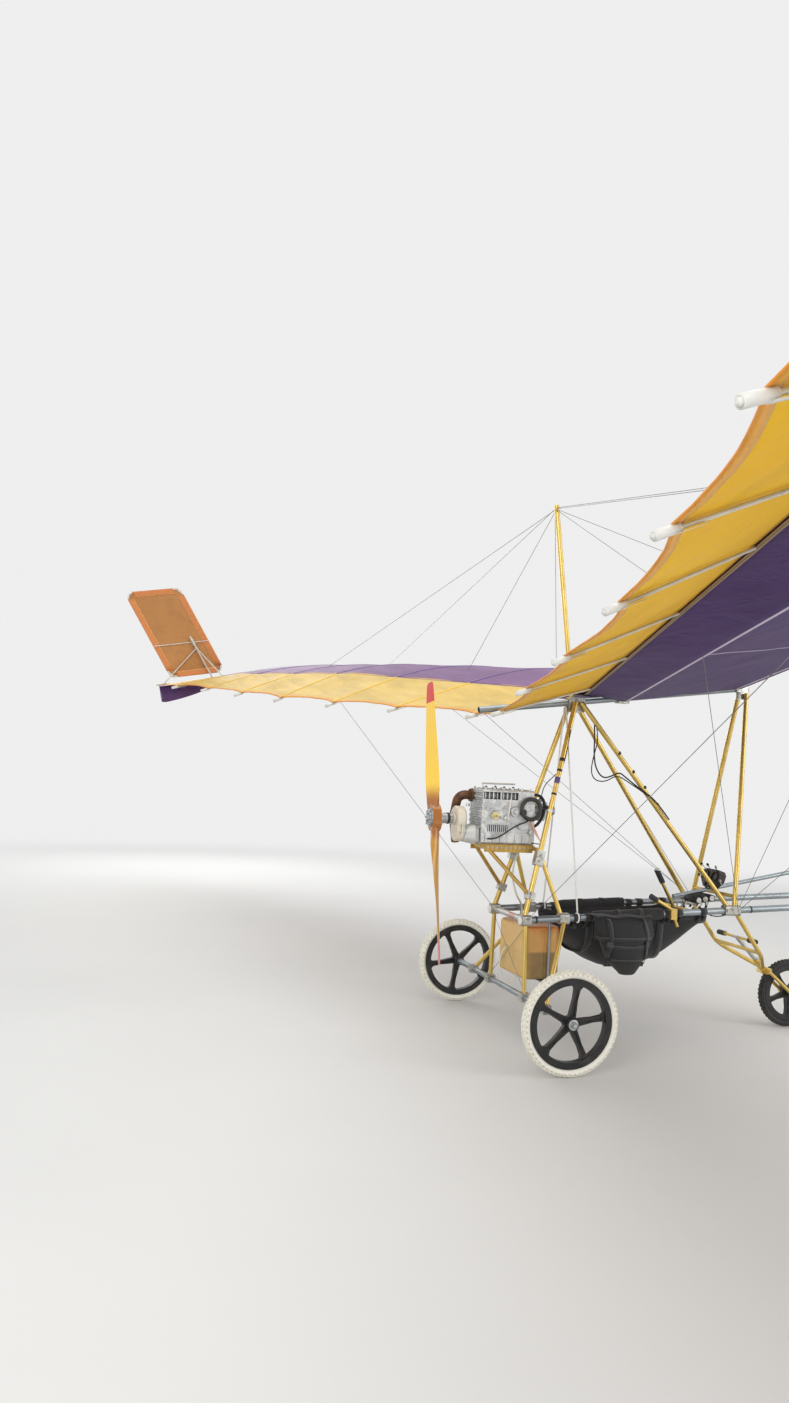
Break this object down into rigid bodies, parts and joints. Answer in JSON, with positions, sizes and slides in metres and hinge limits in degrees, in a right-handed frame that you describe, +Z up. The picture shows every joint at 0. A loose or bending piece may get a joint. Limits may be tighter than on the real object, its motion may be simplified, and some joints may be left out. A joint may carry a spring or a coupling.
{
  "type": "microlight aircraft",
  "caption": "Open-frame microlight aircraft with a swept cloth wing, tip rudders, a nose canard, a pusher propeller and tricycle wheels.",
  "frame": {"origin": "on the floor, on the centre line, half way between the rudders' rear corners and the canard's leading edge", "axes": "+X forward, +Y to port (left when seated), +Z up; the three wheels stand on Z = 0"},
  "size_m": [5.3881, 10.0406, 3.1102],
  "materials": {
    "grey_tube": "anodised, satin",
    "gold_tube": "gold anodised, satin",
    "bracket_alloy": "milled, satin",
    "grey_steel": "satin",
    "engine_alloy": "cast, slightly dull",
    "gearbox_alloy": "painted cream, dull",
    "exhaust_steel": "heat-browned steel",
    "black_plastic": "matte",
    "amber_plastic": "translucent, moulded",
    "seat_cloth": "woven nylon",
    "yellow_cloth": "sailcloth, soft sheen",
    "orange_cloth": "sailcloth, soft sheen",
    "purple_cloth": "sailcloth, soft sheen",
    "wire_steel": "stranded wire",
    "rope": "braided",
    "main_tyre": "cream rubber, knobby",
    "nose_tyre": "black rubber",
    "wheel_plastic": "moulded, satin",
    "painted_wood": "laminated, lacquered yellow with red tips",
    "hub_alloy": "turned"
  },
  "bodies": {
    "airframe": {"longerons": "grey_tube", "cross_tubes": "gold_tube", "frame_brackets": "bracket_alloy", "keel_tube": "grey_tube", "rear_uprights": "gold_tube", "front_uprights": "gold_tube", "main_axle": "grey_steel", "gear_legs": "gold_tube", "engine_mount": "gold_tube", "engine_block": "engine_alloy", "cylinder_head": "engine_alloy", "gearbox": "gearbox_alloy", "exhaust_pipe": "exhaust_steel", "carburettor": "engine_alloy", "engine_ancillaries": "black_plastic", "fuel_tank": "amber_plastic", "tank_cradle": "gold_tube", "seat_sling": "seat_cloth", "seat_rolls": "seat_cloth", "saddle_bag": "seat_cloth", "hand_controls": "gold_tube", "instrument_pod": "black_plastic", "canard_mast": "grey_tube", "kingpost": "gold_tube", "rigging_wires": "wire_steel", "seat_ropes": "rope", "sail_left": "purple_cloth", "sail_right": "purple_cloth", "sail_rear_left": "yellow_cloth", "sail_rear_right": "yellow_cloth", "wing_frame_left": "grey_tube", "wing_frame_right": "grey_tube", "nose_legs": "gold_tube"},
    "left_wheel": {"main_tyre_left": "main_tyre", "main_wheel_left": "wheel_plastic"},
    "right_wheel": {"main_tyre_right": "main_tyre", "main_wheel_right": "wheel_plastic"},
    "nose_steering": {"nose_fork": "grey_tube"},
    "nose_wheel": {"nose_wheel": "wheel_plastic", "nose_tyre": "nose_tyre"},
    "propeller": {"propeller": "painted_wood", "prop_hub": "hub_alloy"},
    "canard": {"canard_frame": "grey_tube", "canard_skin": "yellow_cloth"},
    "left_rudder": {"rudder_frame_left": "grey_tube", "rudder_skin_left": "orange_cloth"},
    "right_rudder": {"rudder_frame_right": "grey_tube", "rudder_skin_right": "orange_cloth"}
  },
  "joints": [
    {"name": "left_wheel_spin", "type": "hinge", "parent": "airframe", "child": "left_wheel", "pos_m": [-0.62998, 0.78, 0.254], "axis": [0, 1, 0], "continuous": true},
    {"name": "right_wheel_spin", "type": "hinge", "parent": "airframe", "child": "right_wheel", "pos_m": [-0.62998, -0.78, 0.254], "axis": [0, 1, 0], "continuous": true},
    {"name": "nose_wheel_steer", "type": "hinge", "parent": "airframe", "child": "nose_steering", "pos_m": [1.02198, 0, 0.36151], "axis": [-0.7071, 0, 0.7071], "range_deg": [-25, 25]},
    {"name": "nose_wheel_spin", "type": "hinge", "parent": "nose_steering", "child": "nose_wheel", "pos_m": [1.21502, 0, 0.201], "axis": [0, 1, 0], "continuous": true},
    {"name": "propeller_spin", "type": "hinge", "parent": "airframe", "child": "propeller", "pos_m": [-1.09998, 0, 1.175], "axis": [1, 0, 0], "continuous": true},
    {"name": "canard_pitch", "type": "hinge", "parent": "airframe", "child": "canard", "pos_m": [2.56002, 0, 1.186], "axis": [0, 1, 0], "range_deg": [-12, 12]},
    {"name": "left_rudder_swing", "type": "hinge", "parent": "airframe", "child": "left_rudder", "pos_m": [-2.01698, 4.974, 2.579], "axis": [0.5299, 0, -0.848], "range_deg": [0, 30]},
    {"name": "right_rudder_swing", "type": "hinge", "parent": "airframe", "child": "right_rudder", "pos_m": [-2.01698, -4.974, 2.579], "axis": [-0.5299, 0, 0.848], "range_deg": [0, 30]}
  ]
}
